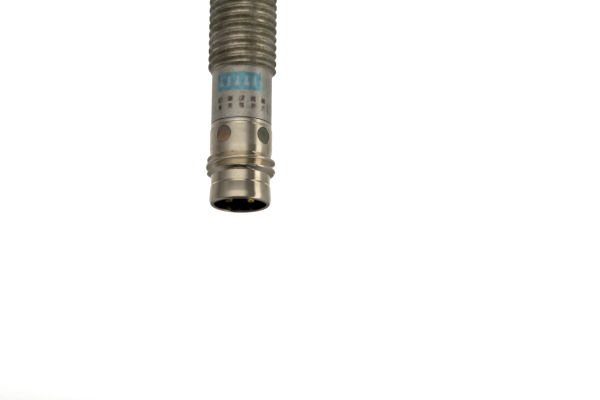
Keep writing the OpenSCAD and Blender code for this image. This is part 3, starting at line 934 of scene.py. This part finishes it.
barrel_piece()
face_cap_piece()
shell_piece()
for lens_name, lens_angle in LENSES.items():
    lens_piece(lens_name, lens_angle, lens_name[:-2])
for pin in PIN_ANGLES:
    pin_piece(pin)
label_piece()
for end in ("front", "rear"):
    nut_piece("lock_nut_" + end, end + "_nut")
    washer_piece("lock_washer_" + end, end + "_washer")


# ---- CAD nodes that are shown as they are ----

CAD_FINISHES = {
    "ferrite_core": "ferrite", "coil_bobbin": "former_plastic", "sensing_coil": "copper_wire",
    "coil_leads": "copper_wire", "core_carrier": "former_plastic", "circuit_board": "board",
    "oscillator_chip": "chip_black", "output_transistor": "chip_black", "protection_diodes": "chip_black",
    "chip_capacitors": "chip_ceramic", "chip_resistors": "chip_black", "status_led_front": "lamp_amber",
    "status_led_back": "lamp_green", "light_guide": "clear_guide", "contact_carrier": "insulator_black",
    "solder_joints": "solder", "potting_resin": "resin",
}
for node_name, finish_name in CAD_FINISHES.items():
    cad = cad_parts[node_name]
    cad.data.materials.clear()
    cad.data.materials.append(FINISHES[finish_name])


# ---- floor, light and camera ----

def floor_piece():
    """A wide pale sheet that the sensor stands on."""
    half = 1.5
    corners = [(-half, -half, 0), (half, -half, 0), (half, half, 0), (-half, half, 0)]
    mesh = bpy.data.meshes.new("floor")
    mesh.from_pydata(corners, [], [(0, 1, 2, 3)])
    floor = bpy.data.objects.new("floor", mesh)
    scene.collection.objects.link(floor)
    f = Finish("floor")
    fine = f.noise(0.4, 4)
    mesh.materials.append(f.done(
        Base_Color=f.mix(fine, (0.86, 0.86, 0.86), (0.9, 0.9, 0.9)), Roughness=0.9, Specular_IOR_Level=0.1,
        Emission_Color=(1, 1, 1), Emission_Strength=0.2,
    ))
    floor.location.z = -0.02 * MM
    floor.visible_glossy = False


def studio():
    """A room of soft boxes round the sensor, seen only in reflections and as diffuse light."""
    world = bpy.data.worlds.new("studio")
    scene.world = world
    world.use_nodes = True
    world.cycles.sampling_method = "NONE"
    tree = world.node_tree
    tree.nodes.clear()

    def node(kind, *inputs, **settings):
        """A new node with these settings and, in order, these inputs."""
        made = tree.nodes.new(kind)
        for key, value in settings.items():
            setattr(made, key, value)
        for socket, value in zip(made.inputs, inputs):
            if isinstance(value, bpy.types.NodeSocket):
                tree.links.new(value, socket)
            elif value is not None:
                socket.default_value = value
        return made

    def calc(operation, a, b=None):
        """One arithmetic step."""
        return node("ShaderNodeMath", a, b, operation=operation).outputs[0]

    def ramp(share, stops):
        """A grey ramp through (share, value) stops, with values up to the limit."""
        limit = 4.0
        made = node("ShaderNodeValToRGB", share)
        elements = made.color_ramp.elements
        while len(elements) > 1:
            elements.remove(elements[-1])
        for i, (at, value) in enumerate(stops):
            element = elements[0] if i == 0 else elements.new(at)
            element.position = at
            element.color = (value / limit, value / limit, value / limit, 1)
        return calc("MULTIPLY", made.outputs[0], limit)

    direction = node("ShaderNodeTexCoord").outputs["Generated"]
    split = node("ShaderNodeSeparateXYZ", direction)
    x, y, z = split.outputs
    around = calc("ARCTAN2", calc("MULTIPLY", x, -1.0), calc("MULTIPLY", y, -1.0))
    around = calc("ADD", calc("DIVIDE", around, 2 * math.pi), 0.5)
    up = calc("ADD", calc("DIVIDE", calc("ARCSINE", z), math.pi), 0.5)

    def by_angle(stops):
        """Brightness by angle round the sensor, with 0 in front and 90 on the right of the picture."""
        return ramp(around, [((a + 180) / 360, v) for a, v in stops])

    def by_height(stops):
        """Brightness by elevation, from -90 below to 90 above."""
        return ramp(up, [((a + 90) / 180, v) for a, v in stops])

    walls = by_angle([
        (-180, 0.9), (-166, 0.9), (-158, 0.34), (-114, 0.32), (-100, 0.2), (-88, 0.13),
        (-66, 0.22), (-50, 0.38), (-32, 0.68), (-18, 0.82), (8, 0.82), (16, 0.66), (23, 0.36), (31, 0.15),
        (50, 0.12), (56, 0.3), (62, 1.2), (77, 1.3), (86, 0.5), (98, 0.38), (124, 0.31), (158, 0.3),
        (166, 0.9), (180, 0.9),
    ])
    front = by_angle([(-62, 0), (-40, 1), (22, 1), (34, 0)])
    back = by_angle([(-180, 1), (-165, 1), (-125, 0), (125, 0), (165, 1), (180, 1)])
    side_level = by_height([(-90, 0.6), (-50, 0.8), (-15, 1), (50, 1), (66, 0.3), (80, 0.06)])
    front_level = by_height([
        (-90, 1.2), (-44, 1.3), (-36, 0.5), (-31, 0.34), (-26, 0.42), (-21, 0.8), (-17, 1), (20, 1.05),
        (38, 0.5), (50, 0.12), (90, 0.05),
    ])
    back_light = by_height([
        (-90, 0.8), (-60, 1.3), (-45, 1.7), (-30, 1.4), (-24, 0.5), (-18, 0.75), (-6, 0.8), (4, 0.16),
        (90, 0.05),
    ])

    def blend(share, a, b):
        """The value a at share 0 and the value b at share 1."""
        return calc("ADD", calc("MULTIPLY", a, calc("SUBTRACT", 1.0, share)), calc("MULTIPLY", b, share))

    strength = calc("MULTIPLY", walls, blend(front, side_level, front_level))
    strength = blend(back, strength, back_light)
    seen = node("ShaderNodeLightPath").outputs["Is Camera Ray"]
    paper = node("ShaderNodeBackground", (1, 1, 1, 1), 0.97)
    room = node("ShaderNodeBackground", (1, 0.985, 0.96, 1), strength)
    both = node("ShaderNodeMixShader", seen, room.outputs[0], paper.outputs[0])
    node("ShaderNodeOutputWorld", both.outputs[0])


def soft_lamp(name, azimuth, elevation, distance, size, power):
    """A round area light that points at the sensor's middle. Angles in degrees, lengths in metres."""
    data = bpy.data.lights.new(name, "AREA")
    data.shape = "DISK"
    data.size = size
    data.energy = power
    lamp = bpy.data.objects.new(name, data)
    scene.collection.objects.link(lamp)
    around = azimuth * DEG
    up = elevation * DEG
    back = Vector((math.sin(around) * math.cos(up), -math.cos(around) * math.cos(up), math.sin(up)))
    aim = Vector((0, 0, RIM / 2 * MM))
    lamp.location = aim + back * distance
    lamp.rotation_mode = "QUATERNION"
    lamp.rotation_quaternion = (-back).to_track_quat("-Z", "Y")
    lamp.visible_glossy = False
    lamp.visible_camera = False


def camera():
    """The photograph's view, in which the connector points down and leans towards the eye.

    Measured in the picture's directions, in millimetres, the eye is distance in front of the rim's middle,
    side to the right of it and rise above it. Pitch and roll are those of the frame's z axis.
    """
    distance = 180.4
    side = 6.76
    rise = 0.62
    pitch = 15.5
    roll = 0.34
    data = bpy.data.cameras.new("camera")
    data.lens = 96
    data.sensor_width = 36
    data.clip_start = 0.01
    data.clip_end = 10
    eye = bpy.data.objects.new("camera", data)
    scene.collection.objects.link(eye)
    # The frame's z, seen from the camera, and the camera's place, both in the camera's own axes
    up = Vector((
        -math.cos(pitch * DEG) * math.sin(roll * DEG), -math.cos(pitch * DEG) * math.cos(roll * DEG),
        math.sin(pitch * DEG),
    ))
    to_eye = Vector((side, rise, distance)).normalized()
    level = (to_eye - up * to_eye.dot(up)).normalized()
    third = up.cross(level)
    seen = Matrix((up, level, third)).transposed()
    frame_axes = Matrix(((0, 0, 1), (0, -1, 0), (1, 0, 0))).transposed()
    turn = frame_axes @ seen.transposed()
    eye_in_frame = turn @ Vector((side, rise, distance))
    eye.matrix_world = Matrix.Translation((Vector((0, 0, RIM)) + eye_in_frame) * MM) @ turn.to_4x4()
    scene.camera = eye


scene.view_settings.view_transform = "Standard"
floor_piece()
studio()
soft_lamp("key", azimuth=-25, elevation=40, distance=0.6, size=0.35, power=3.0)
soft_lamp("fill", azimuth=60, elevation=25, distance=0.7, size=0.4, power=1.5)
soft_lamp("back", azimuth=190, elevation=35, distance=0.7, size=0.4, power=2.0)
camera()
